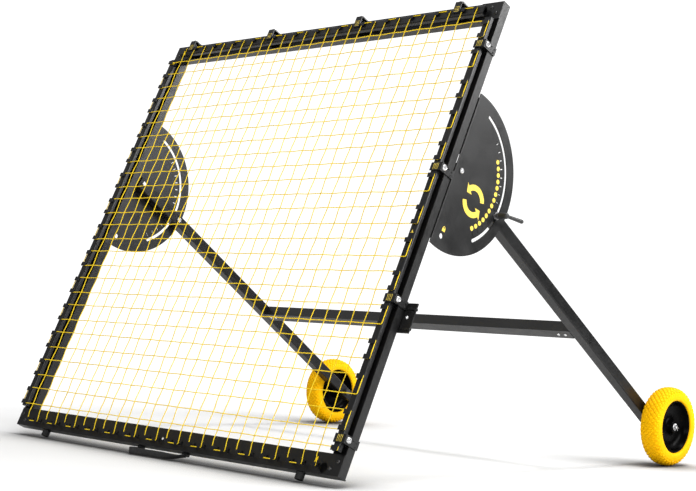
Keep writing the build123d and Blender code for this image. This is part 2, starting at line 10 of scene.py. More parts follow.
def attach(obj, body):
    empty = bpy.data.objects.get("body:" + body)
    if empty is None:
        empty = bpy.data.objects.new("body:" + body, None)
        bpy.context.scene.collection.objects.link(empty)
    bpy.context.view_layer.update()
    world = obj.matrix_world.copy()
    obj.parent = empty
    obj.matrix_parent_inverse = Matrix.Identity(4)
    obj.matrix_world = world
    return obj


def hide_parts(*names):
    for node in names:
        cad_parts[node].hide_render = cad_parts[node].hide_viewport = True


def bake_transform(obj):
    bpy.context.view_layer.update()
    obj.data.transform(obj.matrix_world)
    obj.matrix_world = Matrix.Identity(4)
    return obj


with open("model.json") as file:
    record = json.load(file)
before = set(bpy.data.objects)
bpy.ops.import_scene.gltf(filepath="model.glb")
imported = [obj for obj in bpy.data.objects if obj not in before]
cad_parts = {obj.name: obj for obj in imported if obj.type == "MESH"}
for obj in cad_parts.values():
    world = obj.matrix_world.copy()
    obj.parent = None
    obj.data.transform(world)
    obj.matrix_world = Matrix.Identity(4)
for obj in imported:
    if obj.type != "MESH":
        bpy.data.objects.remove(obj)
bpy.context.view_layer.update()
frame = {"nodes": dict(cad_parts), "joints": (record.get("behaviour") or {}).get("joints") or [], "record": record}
NODES = frame["nodes"]
JOINTS = {joint["name"]: joint for joint in frame["joints"]}
BODY_OF = {node: body for body, members in frame["record"]["behaviour"]["bodies"].items() for node in members}
SIDES = (("left", -1), ("right", 1))

# ---------------------------------------------------------------- dimensions of the object
# places are across, up the posts and out of the net, from the middle of the frame's lower front edge
LEAN = math.radians(24)
SHEET = 0.0025
PIVOT_Y, PIVOT_Z = 0.791, -0.0475
RAIL_OUT, TOP_RAIL_OUT = 0.611, 1.223      # outer edges of the side rails and the top rail
RAIL_FRONT, CLAMP_FRONT = 0.019, 0.022     # fronts of the rails and the tensioners
CORDS, MESH, FIRST_ROW = 27, 0.0427, 0.060
CORD_R = 0.00115
KNOT_AT = 0.017                            # from the hook at an end of a cord to its knot
HOOK_W, HOOK_T = 0.0065, 0.0045
HOOK_LEAN = 0.00235                        # each hook of a pair is drawn this much towards the other
HOOK_IN, TOP_HOOK_IN = 0.0055, 0.008       # from a rail's outer edge to the middle of its hooks
BASE_HOOK_Y, BASE_HOOK_H, LIP_T = 0.0155, 0.017, 0.0012
MARKS_PER_MESH, END_GAP = 6, 0.006         # points of a cord's wave, and its straight ends
DISC_OUT = 0.622                           # outer face of a disc
SLOT_R = 0.1705
LEG_W, BAR_AT = 0.032, 0.650
NUT_OUT, LEVER_OUT, HANDLE_OUT = 0.6755, 0.6252, 0.651     # where nuts, levers and handles start
WHEEL_R, TYRE_W, RIM_R = 0.109, 0.058, 0.072
TREAD_PITCH, TREAD_DEPTH, TREAD_HALF = 0.0150, 0.0028, 0.034       # diamond blocks of the tyres
RIB_PITCH, RIB_DEPTH, RIB_HALF = 0.0114, 0.0009, 0.047             # ribs beside them
GROOVE_SHARE, RIB_GROOVE_SHARE = 0.42, 0.3                         # of half a block or rib
BUTTON_H = 0.0055                          # heads of the tension bolts
WASHER_T, PRINT_T = 0.0016, 0.00022

COLUMNS = [(i - (CORDS - 1) / 2) * MESH for i in range(CORDS)]
ROWS = [FIRST_ROW + i * MESH for i in range(CORDS)]

# ---------------------------------------------------------------- the planes that carry the parts
X_AXIS, Y_AXIS, Z_AXIS = Vector((1, 0, 0)), Vector((0, 1, 0)), Vector((0, 0, 1))
POST_UP = Vector((0, math.sin(LEAN), math.cos(LEAN)))
OUT = Vector((0, -math.cos(LEAN), math.sin(LEAN)))
AXES = (X_AXIS, POST_UP, OUT)
PIVOT = Vector(JOINTS["leg_tilt"]["pos_m"])
PIVOT.x = 0
ORIGIN = PIVOT - PIVOT_Y * POST_UP - PIVOT_Z * OUT
AXLE = Vector(JOINTS["right_wheel_spin"]["pos_m"])
AXLE.x = 0
LEG_DOWN = (AXLE - PIVOT).normalized()
LEG_UP = X_AXIS.cross(LEG_DOWN)


def on_frame(x, y, z):
    """A point from its place across, up the posts and out of the net."""
    return ORIGIN + x * X_AXIS + y * POST_UP + z * OUT


def on_leg(x, y, z):
    """A point from its place across, down the leg and square to it."""
    return PIVOT + x * X_AXIS + y * LEG_DOWN + z * LEG_UP


# ---------------------------------------------------------------- materials
def set_inputs(node, **values):
    """Gives a node's sockets constant values. An underscore stands for a space."""
    for socket, value in values.items():
        node.inputs[socket.replace("_", " ")].default_value = value


def principled(name, **sockets):
    """A new material, its nodes and its Principled shader with these constant sockets."""
    material = bpy.data.materials.new(name)
    material.use_nodes = True
    nodes = material.node_tree.nodes
    shader = nodes["Principled BSDF"]
    set_inputs(shader, **sockets)
    return material, nodes, material.node_tree.links, shader


def noise(nodes, links, scale, detail=3.0):
    """Noise on the object's own coordinates, which move with it."""
    coordinates = nodes.new("ShaderNodeTexCoord")
    texture = nodes.new("ShaderNodeTexNoise")
    set_inputs(texture, Scale=scale, Detail=detail)
    links.new(coordinates.outputs["Object"], texture.inputs["Vector"])
    return texture.outputs["Fac"]


def ramp(nodes, links, value, low, high, start=0.3, end=0.7):
    """A colour between low and high."""
    node = nodes.new("ShaderNodeValToRGB")
    first, last = node.color_ramp.elements
    first.position, last.position = start, end
    first.color, last.color = (*low, 1), (*high, 1)
    links.new(value, node.inputs["Fac"])
    return node.outputs["Color"]


def spread(nodes, links, value, low, high):
    """A number between low and high."""
    node = nodes.new("ShaderNodeMapRange")
    set_inputs(node, From_Min=0.3, From_Max=0.7, To_Min=low, To_Max=high)
    links.new(value, node.inputs["Value"])
    return node.outputs["Result"]


def raised(nodes, links, shader, value, distance):
    """Bump of this height."""
    node = nodes.new("ShaderNodeBump")
    set_inputs(node, Distance=distance, Strength=1.0)
    links.new(value, node.inputs["Height"])
    links.new(node.outputs["Normal"], shader.inputs["Normal"])


def surface(name, low, high, rough, patch, grain, relief, **sockets):
    """Colour from low to high in patches, roughness in the same patches, and a fine grain of this relief."""
    material, nodes, links, shader = principled(name, **sockets)
    patches = noise(nodes, links, patch, 5.0)
    links.new(ramp(nodes, links, patches, low, high), shader.inputs["Base Color"])
    links.new(spread(nodes, links, noise(nodes, links, 3.1 * patch, 4.0), *rough), shader.inputs["Roughness"])
    raised(nodes, links, shader, noise(nodes, links, grain, 2.0), relief)
    return material


BLACK_STEEL = surface(
    "powder_coat", (0.005, 0.005, 0.0052), (0.009, 0.009, 0.0092), (0.28, 0.40), 9, 900, 0.00012,
    Specular_IOR_Level=0.5,
)
# Painted shade: a darker, less glossy copy of the frame's powder coat, which darkens the legs as if they were in
# shade
LEG_STEEL_PAINTED_SHADE = surface(
    "powder_coat_legs_painted_shade", (0.004, 0.004, 0.0042), (0.008, 0.008, 0.0082), (0.26, 0.38), 9, 900, 0.00012,
    Specular_IOR_Level=0.3,
)
DISC_STEEL = surface(
    "powder_coat_disc", (0.005, 0.005, 0.0052), (0.009, 0.009, 0.0092), (0.30, 0.42), 7, 700, 0.00010,
    Specular_IOR_Level=0.42,
)
ZINC = surface(
    "zinc_plate", (0.62, 0.62, 0.63), (0.80, 0.80, 0.80), (0.22, 0.38), 160, 1500, 0.00005, Metallic=1.0
)
DARK_ZINC = surface(
    "dark_bolt", (0.05, 0.05, 0.05), (0.09, 0.09, 0.09), (0.28, 0.42), 160, 1500, 0.00005, Metallic=0.6
)
TYRE = surface(
    "foam_tyre", (0.95, 0.49, 0.0), (0.98, 0.55, 0.0), (0.55, 0.70), 30, 900, 0.00018,
    Specular_IOR_Level=0.08,
)
# Painted shade: a far darker, duller copy of the handles' black plastic, so the deep bowls of the hubs look shaded
HUB_PAINTED_SHADE = surface(
    "hub_plastic_painted_shade", (0.001, 0.001, 0.001), (0.002, 0.002, 0.002), (0.20, 0.32), 40, 420, 0.00006,
    Specular_IOR_Level=0.025,
)
HANDLE = surface(
    "handle_plastic", (0.012, 0.012, 0.012), (0.022, 0.022, 0.022), (0.32, 0.48), 60, 900, 0.00010
)
RUBBER = surface(
    "foot_rubber", (0.014, 0.014, 0.014), (0.028, 0.028, 0.028), (0.62, 0.80), 90, 1100, 0.00025
)
PRINT = surface("yellow_print", (0.86, 0.62, 0.05), (0.95, 0.72, 0.10), (0.40, 0.55), 120, 1500, 0.00004)
CORD = surface(
    "net_cord", (0.94, 0.63, 0.012), (1.0, 0.75, 0.030), (0.62, 0.82), 160, 1500, 0.0004,
    Specular_IOR_Level=0.2,
)
WEBBING = surface(
    "strap_webbing", (0.016, 0.016, 0.016), (0.034, 0.034, 0.035), (0.60, 0.78), 200, 900, 0.0003
)

PAINT = {
    "black_steel": BLACK_STEEL,
    "zinc_steel": ZINC,
    "yellow_tyre": TYRE,
    "black_plastic": HANDLE,
    "yellow_cord": CORD,
    "black_rubber": RUBBER,
    "black_webbing": WEBBING,
}
SLOT_OF = {part["node"]: part["material_slot"] for part in frame["record"]["subparts"]}
for name, node in NODES.items():
    node.data.materials.clear()
    node.data.materials.append(PAINT[SLOT_OF[name]])
for name, _ in SIDES:
    NODES[f"{name}_disc"].data.materials[0] = DISC_STEEL
    # the legs take the darker copy of the powder coat, painted shade
    NODES[f"{name}_leg"].data.materials[0] = LEG_STEEL_PAINTED_SHADE
    NODES[f"{name}_axle"].data.materials[0] = DARK_ZINC


# ---------------------------------------------------------------- mesh helpers
def piece(name, points, faces, material, body):
    """A smooth mesh that rides on a body."""
    mesh = bpy.data.meshes.new(name)
    mesh.from_pydata([tuple(p) for p in points], [], faces)
    mesh.validate()
    mesh.polygons.foreach_set("use_smooth", [True] * len(mesh.polygons))
    mesh.materials.append(material)
    obj = bpy.data.objects.new(name, mesh)
    bpy.context.scene.collection.objects.link(obj)
    if body:
        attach(obj, body)
    return obj


def sharpen(obj, degrees):
    """Marks as sharp the edges that turn by more than this."""
    mesh = obj.data
    mesh.update()
    faces_at = {}
    for face in mesh.polygons:
        for key in face.edge_keys:
            faces_at.setdefault(key, []).append(face.normal)
    limit = math.cos(math.radians(degrees))
    sharp = []
    for edge in mesh.edges:
        normals = faces_at.get(edge.key, [])
        sharp.append(len(normals) != 2 or normals[0].dot(normals[1]) < limit)
    attribute = mesh.attributes.get("sharp_edge")
    attribute = attribute or mesh.attributes.new("sharp_edge", "BOOLEAN", "EDGE")
    attribute.data.foreach_set("value", sharp)


def grid(rows, columns, closed_rows=False):
    """Quads over rows of points, each row closed into a ring."""
    faces = []
    for i in range(rows if closed_rows else rows - 1):
        for j in range(columns):
            a, b = i * columns, (i + 1) % rows * columns
            k = (j + 1) % columns
            faces.append((a + j, a + k, b + k, b + j))
    return faces


def ring(middle, side, other, radius, steps):
    """Points of a circle in the plane of two square directions."""
    angles = [math.tau * i / steps for i in range(steps)]
    return [middle + radius * (math.cos(a) * side + math.sin(a) * other) for a in angles]


def turned_rings(place, axis, profile, steps):
    """Rings of a solid turned about an axis, from (height along it, radius) pairs."""
    axis = axis.normalized()
    side = axis.orthogonal().normalized()
    other = axis.cross(side)
    return [ring(place + h * axis, side, other, radius, steps) for h, radius in profile]


class Shape:
    """Points and faces gathered from several solids."""

    def __init__(self):
        self.points, self.faces = [], []

    def add(self, points, faces):
        base = len(self.points)
        self.points += [Vector(p) for p in points]
        self.faces += [tuple(base + i for i in face) for face in faces]

    def add_rings(self, rings):
        """A solid through rings of equally many points, with flat ends."""
        steps = len(rings[0])
        faces = grid(len(rings), steps)
        faces.append(tuple(range(steps))[::-1])
        last = (len(rings) - 1) * steps
        faces.append(tuple(range(last, last + steps)))
        self.add([point for one in rings for point in one], faces)

    def lathe(self, place, axis, profile, steps):
        """A solid turned about an axis from (height along it, radius) pairs."""
        self.add_rings(turned_rings(place, axis, profile, steps))

    def tube(self, path, radius, sides):
        """A round tube along a path, without twist, with flat ends."""
        last = len(path) - 1
        normal = (path[1] - path[0]).normalized().orthogonal().normalized()
        rings = []
        for i, p in enumerate(path):
            ahead = (path[min(i + 1, last)] - path[max(i - 1, 0)]).normalized()
            normal = (normal - normal.dot(ahead) * ahead).normalized()
            rings.append(ring(p, normal, ahead.cross(normal), radius, sides))
        self.add_rings(rings)

    def build(self, name, material, body, sharp=35):
        """The gathered solids as one piece, with sharp edges from this many degrees up, if any."""
        obj = piece(name, self.points, self.faces, material, body)
        if sharp:
            sharpen(obj, sharp)
        return obj


def shells(node):
    """The separate solids of a CAD node, each as its lowest and highest corner along the frame's axes."""
    mesh = NODES[node].data
    home, number = {}, []
    for vertex in mesh.vertices:
        key = tuple(round(c, 5) for c in vertex.co)
        number.append(home.setdefault(key, len(home)))
    parent = list(range(len(home)))

    def root(i):
        while parent[i] != i:
            parent[i] = parent[parent[i]]
            i = parent[i]
        return i

    for edge in mesh.edges:
        a, b = (root(number[v]) for v in edge.vertices)
        parent[a] = b
    groups = {}
    for vertex, i in zip(mesh.vertices, number):
        local = vertex.co - ORIGIN
        groups.setdefault(root(i), []).append([local.dot(axis) for axis in AXES])
    return [([min(c) for c in zip(*g)], [max(c) for c in zip(*g)]) for g in groups.values()]


# ---------------------------------------------------------------- camera, light and floor
def make_camera():
    """The camera of the main view, placed from the lower front edge of the frame."""
    yaw, pitch, roll = 0.78056, 0.03565, 0.0503
    ahead = Vector((-math.sin(yaw) * math.cos(pitch), math.cos(yaw) * math.cos(pitch), math.sin(pitch)))
    level = Vector((math.cos(yaw), math.sin(yaw), 0))
    above = level.cross(ahead)
    right = math.cos(roll) * level + math.sin(roll) * above
    up = -math.sin(roll) * level + math.cos(roll) * above
    data = bpy.data.cameras.new("camera")
    data.lens, data.sensor_width = 73.96, 36.0
    data.shift_x, data.shift_y = 0.0332, 0.0176
    data.clip_end = 50
    camera = bpy.data.objects.new("camera", data)
    stand = Vector((2.7681, ORIGIN.y - 2.2445, 0.3871))
    camera.matrix_world = Matrix.Translation(stand) @ Matrix((right, up, -ahead)).transposed().to_4x4()
    bpy.context.scene.collection.objects.link(camera)
    bpy.context.scene.camera = camera


def make_light(name, place, target, size, power):
    """A soft rectangular light that points at its target."""
    data = bpy.data.lights.new(name, "AREA")
    data.shape, data.size, data.size_y = "RECTANGLE", *size
    data.energy = power
    light = bpy.data.objects.new(name, data)
    light.location = place
    light.rotation_mode = "QUATERNION"
    light.rotation_quaternion = (Vector(target) - Vector(place)).to_track_quat("-Z", "Y")
    bpy.context.scene.collection.objects.link(light)


def make_world():
    """A studio that lights the object from above and behind more than from in front, and looks white."""
    world = bpy.data.worlds.new("studio")
    world.use_nodes = True
    nodes, links = world.node_tree.nodes, world.node_tree.links
    glow = nodes["Background"]
    set_inputs(glow, Color=(1, 1, 1, 1))
    coordinates = nodes.new("ShaderNodeTexCoord")
    split = nodes.new("ShaderNodeSeparateXYZ")
    links.new(coordinates.outputs["Generated"], split.inputs["Vector"])
    shares = []
    for axis, low, high, dim, bright in (("Y", -0.5, 0.6, 0.30, 1.0), ("Z", 0.15, 1.0, 0.0, 1.6)):
        share = nodes.new("ShaderNodeMapRange")
        set_inputs(share, From_Min=low, From_Max=high, To_Min=dim, To_Max=bright)
        links.new(split.outputs[axis], share.inputs["Value"])
        shares.append(share.outputs["Result"])
    total = nodes.new("ShaderNodeMath")
    total.operation = "MULTIPLY_ADD"
    for share, socket in zip(shares, total.inputs):
        links.new(share, socket)
    total.inputs[2].default_value = 0.06
    links.new(total.outputs["Value"], glow.inputs["Strength"])
    seen = nodes.new("ShaderNodeBackground")
    set_inputs(seen, Color=(1, 1, 1, 1), Strength=1.18)
    rays = nodes.new("ShaderNodeLightPath")
    choice = nodes.new("ShaderNodeMixShader")
    links.new(rays.outputs["Is Camera Ray"], choice.inputs[0])
    links.new(glow.outputs["Background"], choice.inputs[1])
    links.new(seen.outputs["Background"], choice.inputs[2])
    links.new(choice.outputs["Shader"], nodes["World Output"].inputs["Surface"])
    bpy.context.scene.world = world


def make_floor():
    """A round pale floor with painted shade: its colour darkens close under the object, and it glows more towards
    its own rim.
    """
    material, nodes, links, shader = principled("floor_paper", Roughness=0.9, Specular_IOR_Level=0.1)
    grain = ramp(nodes, links, noise(nodes, links, 3.0), (0.70, 0.70, 0.70), (0.72, 0.72, 0.72))
    # Painted shade: ambient occlusion darkens the floor's colour close under and beside the object, a painted
    # contact shadow
    near = nodes.new("ShaderNodeAmbientOcclusion")
    near.samples = 16
    set_inputs(near, Distance=0.28)
    tone = nodes.new("ShaderNodeMix")
    tone.data_type = "RGBA"
    tone.blend_type = "MULTIPLY"
    set_inputs(tone, Factor=1.0)
    links.new(grain, tone.inputs["A"])
    # the painted shadow: floor colour falls to 0.15 where the occlusion is strongest
    shade = ramp(nodes, links, near.outputs["AO"], (0.15, 0.15, 0.15), (1.0, 1.0, 1.0), 0.50, 0.96)
    links.new(shade, tone.inputs["B"])
    links.new(tone.outputs["Result"], shader.inputs["Base Color"])
    coordinates = nodes.new("ShaderNodeTexCoord")
    distance = nodes.new("ShaderNodeVectorMath")
    distance.operation = "LENGTH"
    links.new(coordinates.outputs["Object"], distance.inputs[0])
    rise = nodes.new("ShaderNodeMapRange")
    set_inputs(rise, From_Min=1.1, From_Max=2.4, To_Min=0.0, To_Max=0.38)
    links.new(distance.outputs["Value"], rise.inputs["Value"])
    links.new(rise.outputs["Result"], shader.inputs["Emission Strength"])
    set_inputs(shader, Emission_Color=(1, 1, 1, 1))
    mesh = bpy.data.meshes.new("floor")
    rim = ring(Vector(), X_AXIS, Y_AXIS, 3.6, 96)
    mesh.from_pydata(rim, [], [tuple(range(len(rim)))])
    mesh.materials.append(material)
    floor = bpy.data.objects.new("floor", mesh)
    floor.location.z = -0.0005
    bpy.context.scene.collection.objects.link(floor)


make_camera()
make_world()
make_floor()
make_light("key_right", (4.4, 1.9, 2.5), (0.6, 0.0, 0.7), (4.0, 1.5), 230)
make_light("overhead", (1.1, 1.1, 8.0), (0.0, 0.0, 0.0), (1.6, 1.6), 290)
make_light("fill_front", (2.6, -3.4, 1.6), (0.0, 0.0, 0.6), (1.6, 1.2), 60)
make_light("strip_back", (0.4, 4.6, 1.3), (0.0, 0.0, 0.7), (1.4, 2.4), 40)
bpy.context.scene.view_settings.view_transform = "Standard"


# ---------------------------------------------------------------- curves
def neighbours(stops, index):
    """The four stops round the stretch that starts at this one."""
    return [stops[min(max(index + k, 0), len(stops) - 1)] for k in (-1, 0, 1, 2)]


def blended(near, t):
    """A place on the smooth curve through four neighbours, from the second at 0 to the third at 1."""
    before, start, end, after = near
    total = (-t + 2 * t * t - t ** 3) * before
    total += (2 - 5 * t * t + 3 * t ** 3) * start
    total += (t + 4 * t * t - 3 * t ** 3) * end
    total += (t ** 3 - t * t) * after
    return 0.5 * total


def smooth_turn(points, radius, steps):
    """The path with its corners rounded to this radius."""
    out = [points[0]]
    for before, corner, after in zip(points, points[1:], points[2:]):
        a, b = (before - corner), (after - corner)
        cut = min(radius, 0.45 * a.length, 0.45 * b.length)
        start, end = corner + a.normalized() * cut, corner + b.normalized() * cut
        for k in range(steps + 1):
            t = k / steps
            out.append((1 - t) ** 2 * start + 2 * t * (1 - t) * corner + t * t * end)
    out.append(points[-1])
    return out


# ---------------------------------------------------------------- net
def hook_place(stops, index, first):
    """Where the hook of a cord's run stands: the two hooks of a pair are drawn towards each other."""
    return stops[index] + (-HOOK_LEAN if (index - first) % 2 else HOOK_LEAN)


def loop_and_knot(place, stop, hook, along, inward, z):
    """The end of a cord: a loop round one hook and three tight turns that close it, as two paths."""
    side = HOOK_W / 2 + CORD_R
    knot = along + inward * KNOT_AT
    corners = [
        (stop, knot), (hook - side, along + inward * 0.004), (hook - side, along), (hook + side, along),
        (hook + side, along + inward * 0.004), (stop, knot),
    ]
    loop = smooth_turn([place(x, y, z) for x, y in corners], 0.003, 3)
    turns, length, radius = 3.0, 0.0075, 1.7 * CORD_R
    wrap = []
    for k in range(37):
        t = k / 36
        angle = math.tau * turns * t
        y = knot - inward * 0.003 + inward * length * t
        wrap.append(place(stop + radius * math.cos(angle), y, z + radius * math.sin(angle)))
    return loop, wrap


def lace(stops, low_end, high_end, place, crossings, first_over):
    """One cord that runs to and fro between two rows of hooks, round a pair of hooks at each end of a run,
    over and under the cord that crosses it. An end says the number of its first whole pair, its place along
    the runs and out of the frame, and how far aside the hook of the cord's own end stands. Returns the
    cord's path and those of its loops and knots."""
    side = HOOK_W / 2 + CORD_R
    path, ties = [], []
    middle_z = RAIL_FRONT + 2.2 * CORD_R
    low, high = crossings[0] - 0.55 * MESH, crossings[-1] + 0.55 * MESH
    total = round((high - low) / MESH * MARKS_PER_MESH)
    for i in range(CORDS):
        ends = []
        for (first, along, z, aside), inward, last in ((low_end, 1, CORDS - 1), (high_end, -1, 0)):
            if i == last:
                ends.append((stops[i], along + inward * KNOT_AT, z))
                ties += loop_and_knot(place, stops[i], stops[i] + aside, along, inward, z)
            else:
                hook = hook_place(stops, i, first)
                ends.append((hook + (side if (i - first) % 2 else -side), along, z))
        (x0, y0, z0), (x1, y1, z1) = ends
        over = (-first_over if i % 2 else first_over) * 0.95 * CORD_R
        marks = [(y0, z0)]
        for k in range(total + 1):
            y = low + (high - low) * k / total
            if y0 + END_GAP < y < y1 - END_GAP:
                marks.append((y, middle_z + over * math.cos(math.pi * (y - crossings[0]) / MESH)))
        marks.append((y1, z1))
        run = [place(x0 + (x1 - x0) * (y - y0) / (y1 - y0), y, z) for y, z in marks]
        path += run[::-1] if i % 2 == 0 else run
    return path, ties


def make_lace(name, reach):
    """A laced cord with its loops and knots."""
    path, ties = reach
    shape = Shape()
    for line in [smooth_turn(path, 0.004, 3)] + ties:
        shape.tube(line, CORD_R, 7)
    obj = shape.build(name, CORD, None, None)
    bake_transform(obj)
    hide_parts("net")


def make_net():
    """Two laced cords: one up and down between the bottom plate and the top rail, one across."""
    rest = RAIL_FRONT + CORD_R + 0.0002
    base_z = SHEET + BASE_HOOK_H - LIP_T - CORD_R - 0.0003
    low_end = (0, BASE_HOOK_Y - HOOK_T / 2 - CORD_R, base_z, -HOOK_LEAN)
    high_end = (1, TOP_RAIL_OUT - TOP_HOOK_IN + HOOK_T / 2 + CORD_R, rest, -HOOK_LEAN)
    upright = lace(COLUMNS, low_end, high_end, on_frame, ROWS, -1)
    make_lace("upright_lace", upright)
    edge = RAIL_OUT - HOOK_IN + HOOK_T / 2 + CORD_R

    def level_place(across, along, z):
        return on_frame(along, across, z)

    left, right = (0, -edge, rest, HOOK_LEAN), (1, edge, rest, -HOOK_LEAN)
    level = lace(ROWS, left, right, level_place, COLUMNS, 1)
    make_lace("level_lace", level)


make_net()


# ---------------------------------------------------------------- wheels
def tread(u, v):
    """Height of the tread, from 0 in a groove to 1, at a place round and across the tyre in metres."""
    deepest = 1.0
    for s in (u + v, u - v):
        gap = abs((s / TREAD_PITCH) % 1.0 - 0.5) * 2
        deepest = min(deepest, (1.0 - gap) / GROOVE_SHARE)
    return deepest * deepest * (3 - 2 * deepest)


def tyre_profile():
    """The tyre's profile, bead to bead over the crown: (across, radius) points, each with its distance
    from the middle of the crown along the surface."""
    half, steps = TYRE_W / 2, 84
    control = [
        (-half + 0.006, RIM_R), (-half + 0.0012, RIM_R + 0.003), (-half, RIM_R + 0.010),
        (-half + 0.0003, WHEEL_R - 0.022), (-half + 0.0030, WHEEL_R - 0.0095),
        (-half + 0.0105, WHEEL_R - 0.0035), (-half + 0.020, WHEEL_R - 0.0008), (0, WHEEL_R),
    ]
    control += [(-x, r) for x, r in control[-2::-1]]
    dense = []
    for i in range(len(control) - 1):
        near = [Vector(p) for p in neighbours(control, i)]
        dense += [blended(near, k / 12) for k in range(12)]
    dense.append(Vector(control[-1]))
    lengths = [0.0]
    for a, b in zip(dense, dense[1:]):
        lengths.append(lengths[-1] + (b - a).length)
    points, j = [], 0
    for k in range(steps + 1):
        s = lengths[-1] * k / steps
        while j < len(dense) - 2 and lengths[j + 1] < s:
            j += 1
        t = (s - lengths[j]) / (lengths[j + 1] - lengths[j])
        points.append((dense[j].lerp(dense[j + 1], t), s - lengths[-1] / 2))
    return points


def make_tyre(name):
    """A tyre: diamond tread over the crown, fine ribs beside it, plain walls and a flat seat."""
    centre = Vector(JOINTS[f"{name}_wheel_spin"]["pos_m"])
    around, profile = 720, tyre_profile()
    befores, afters = profile[:1] + profile, profile[1:] + profile[-1:]
    points = []
    for i, radial in enumerate(ring(Vector(), Y_AXIS, Z_AXIS, 1.0, around)):
        u = WHEEL_R * math.tau * i / around
        for (p, s), (before, _), (after, _) in zip(profile, befores, afters):
            depth = 0.0
            if abs(s) < TREAD_HALF:
                depth = TREAD_DEPTH * (1 - tread(u, s))
            elif abs(s) < RIB_HALF:
                wave = abs((u / RIB_PITCH + (0.25 if s > 0 else 0.0)) % 1.0 - 0.5) * 2
                depth = RIB_DEPTH * max(0.0, 1 - (1 - wave) / RIB_GROOVE_SHARE)
            along = (after - before).normalized()
            across, radius = p.x + along.y * depth, p.y - along.x * depth
            points.append(centre + across * X_AXIS + radius * radial)
        for side in (1, -1):                       # the flat seat on the hub, from bead to bead
            points.append(centre + side * (TYRE_W / 2 - 0.008) * X_AXIS + (RIM_R - 0.0005) * radial)
    faces = [f[::-1] for f in grid(around, len(profile) + 2, closed_rows=True)]
    obj = piece(f"{name}_tyre_tread", points, faces, TYRE, f"{name}_wheel")
    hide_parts(f"{name}_tyre")


def make_hub(name, side):
    """A dished plastic hub: rolled rim, deep bowl, web and boss."""
    centre = Vector(JOINTS[f"{name}_wheel_spin"]["pos_m"])
    axis = side * X_AXIS
    face = [
        (0.0225, 0.0718), (0.0250, 0.0712), (0.0262, 0.0700), (0.0262, 0.0682), (0.0245, 0.0668),
        (0.0200, 0.0655), (0.0140, 0.0625), (0.0085, 0.0575), (0.0050, 0.0500), (0.0040, 0.0420),
        (0.0040, 0.0300), (0.0048, 0.0225), (0.0090, 0.0185), (0.0180, 0.0165), (0.0205, 0.0155),
        (0.0210, 0.0140), (0.0210, 0.0061),
    ]
    profile = face + [(-x, r) for x, r in reversed(face)]
    steps = 96
    rings = turned_rings(centre, axis, profile, steps)
    shape = Shape()
    shape.add([point for one in rings for point in one], grid(len(profile), steps, closed_rows=True))
    # the hub takes the darkened copy of the black plastic, painted shade in its bowl
    obj = shape.build(f"{name}_hub_dish", HUB_PAINTED_SHADE, f"{name}_wheel", 50)
    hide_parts(f"{name}_hub")


for side_name, side_sign in SIDES:
    make_tyre(side_name)
    make_hub(side_name, side_sign)


# ---------------------------------------------------------------- fasteners
def lathe_with_hexagon(shape, place, axis, profile, first, end):
    """A turned head with some rings drawn in to hexagons: the walls of a socket, or the flats of a nut."""
    steps = 36
    rings = turned_rings(place, axis, profile, steps)
    sixth, half = math.tau / 6, math.tau / 12
    for number in range(first, end):
        middle = place + profile[number][0] * axis.normalized()
        for i, point in enumerate(rings[number]):
            share = math.cos(half) / math.cos((math.tau * i / steps + half) % sixth - half)
            rings[number][i] = middle.lerp(point, share)
    shape.add_rings(rings)


def button_head(shape, place, axis, radius, height):
    """A domed head with a hexagon socket, from its seat up."""
    profile = [
        (0, 0.96), (0.10, 1), (0.38, 0.985), (0.68, 0.87), (0.90, 0.68), (1, 0.54), (0.97, 0.50), (0.35, 0.46)
    ]
    profile = [(height * h, radius * r) for h, r in profile]
    lathe_with_hexagon(shape, place, axis, profile, 6, 8)


def hexagon_nut(shape, place, axis, radius, height, shaft):
    """A nut with chamfered corners on a washer, its shaft standing out of it."""
    profile = [
        (0, 1.16 * radius), (0.10, 1.18 * radius), (0.17, 1.16 * radius), (0.17, 0.93 * radius),
        (0.24, radius), (0.86, radius), (1, 0.90 * radius), (1, 1.08 * shaft),
        (0.96, shaft), (1.34, 0.97 * shaft), (1.40, 0.86 * shaft),
    ]
    profile = [(height * h, r) for h, r in profile]
    lathe_with_hexagon(shape, place, axis, profile, 3, 7)


def middle_of(shell):
    """The middle between a shell's lowest and highest corner."""
    low, high = shell
    return [(a + b) / 2 for a, b in zip(low, high)]


def make_button_heads(name, node, forwards, material, aside=(0.0, 1.0), size=1.0):
    """Domed heads in the places of a node's short cylinders, out of the front or the back of the frame,
    where the cylinders stand this far aside of the frame's middle."""
    shape = Shape()
    for low, high in shells(node):
        x, y, _ = middle_of((low, high))
        if not aside[0] <= abs(x) < aside[1]:
            continue
        radius = size * max(high[0] - low[0], high[1] - low[1]) / 2
        seat = on_frame(x, y, low[2] if forwards else high[2])
        button_head(shape, seat, OUT if forwards else -OUT, radius, high[2] - low[2])
    obj = shape.build(name, material, "frame")
    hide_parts(node)


make_button_heads("corner_screw_heads", "corner_screws", True, DARK_ZINC, (0.1, 1.0))
make_button_heads("middle_screw_head", "corner_screws", True, ZINC, (0.0, 0.1), 0.9)
make_button_heads("disc_bolt_heads", "disc_bolts", False, DARK_ZINC)
make_button_heads("side_bracket_bolt_heads", "side_bracket_bolts", True, ZINC)


def make_eyelets():
    """Blind rivets of the side tensioners: a thin rim round a deep hole."""
    shape = Shape()
    for low, high in shells("side_tensioner_rivets"):
        _, y, z = middle_of((low, high))
        radius, height = (high[1] - low[1]) / 2, high[0] - low[0]
        profile = [(0, 1), (0.5, 1), (0.85, 0.86), (1, 0.66), (0.9, 0.5), (0.05, 0.42)]
        profile = [(height * h, radius * r) for h, r in profile]
        shape.lathe(on_frame(low[0], y, z), X_AXIS, profile, 24)
    obj = shape.build("side_tensioner_eyelets", RUBBER, "frame")
    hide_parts("side_tensioner_rivets")


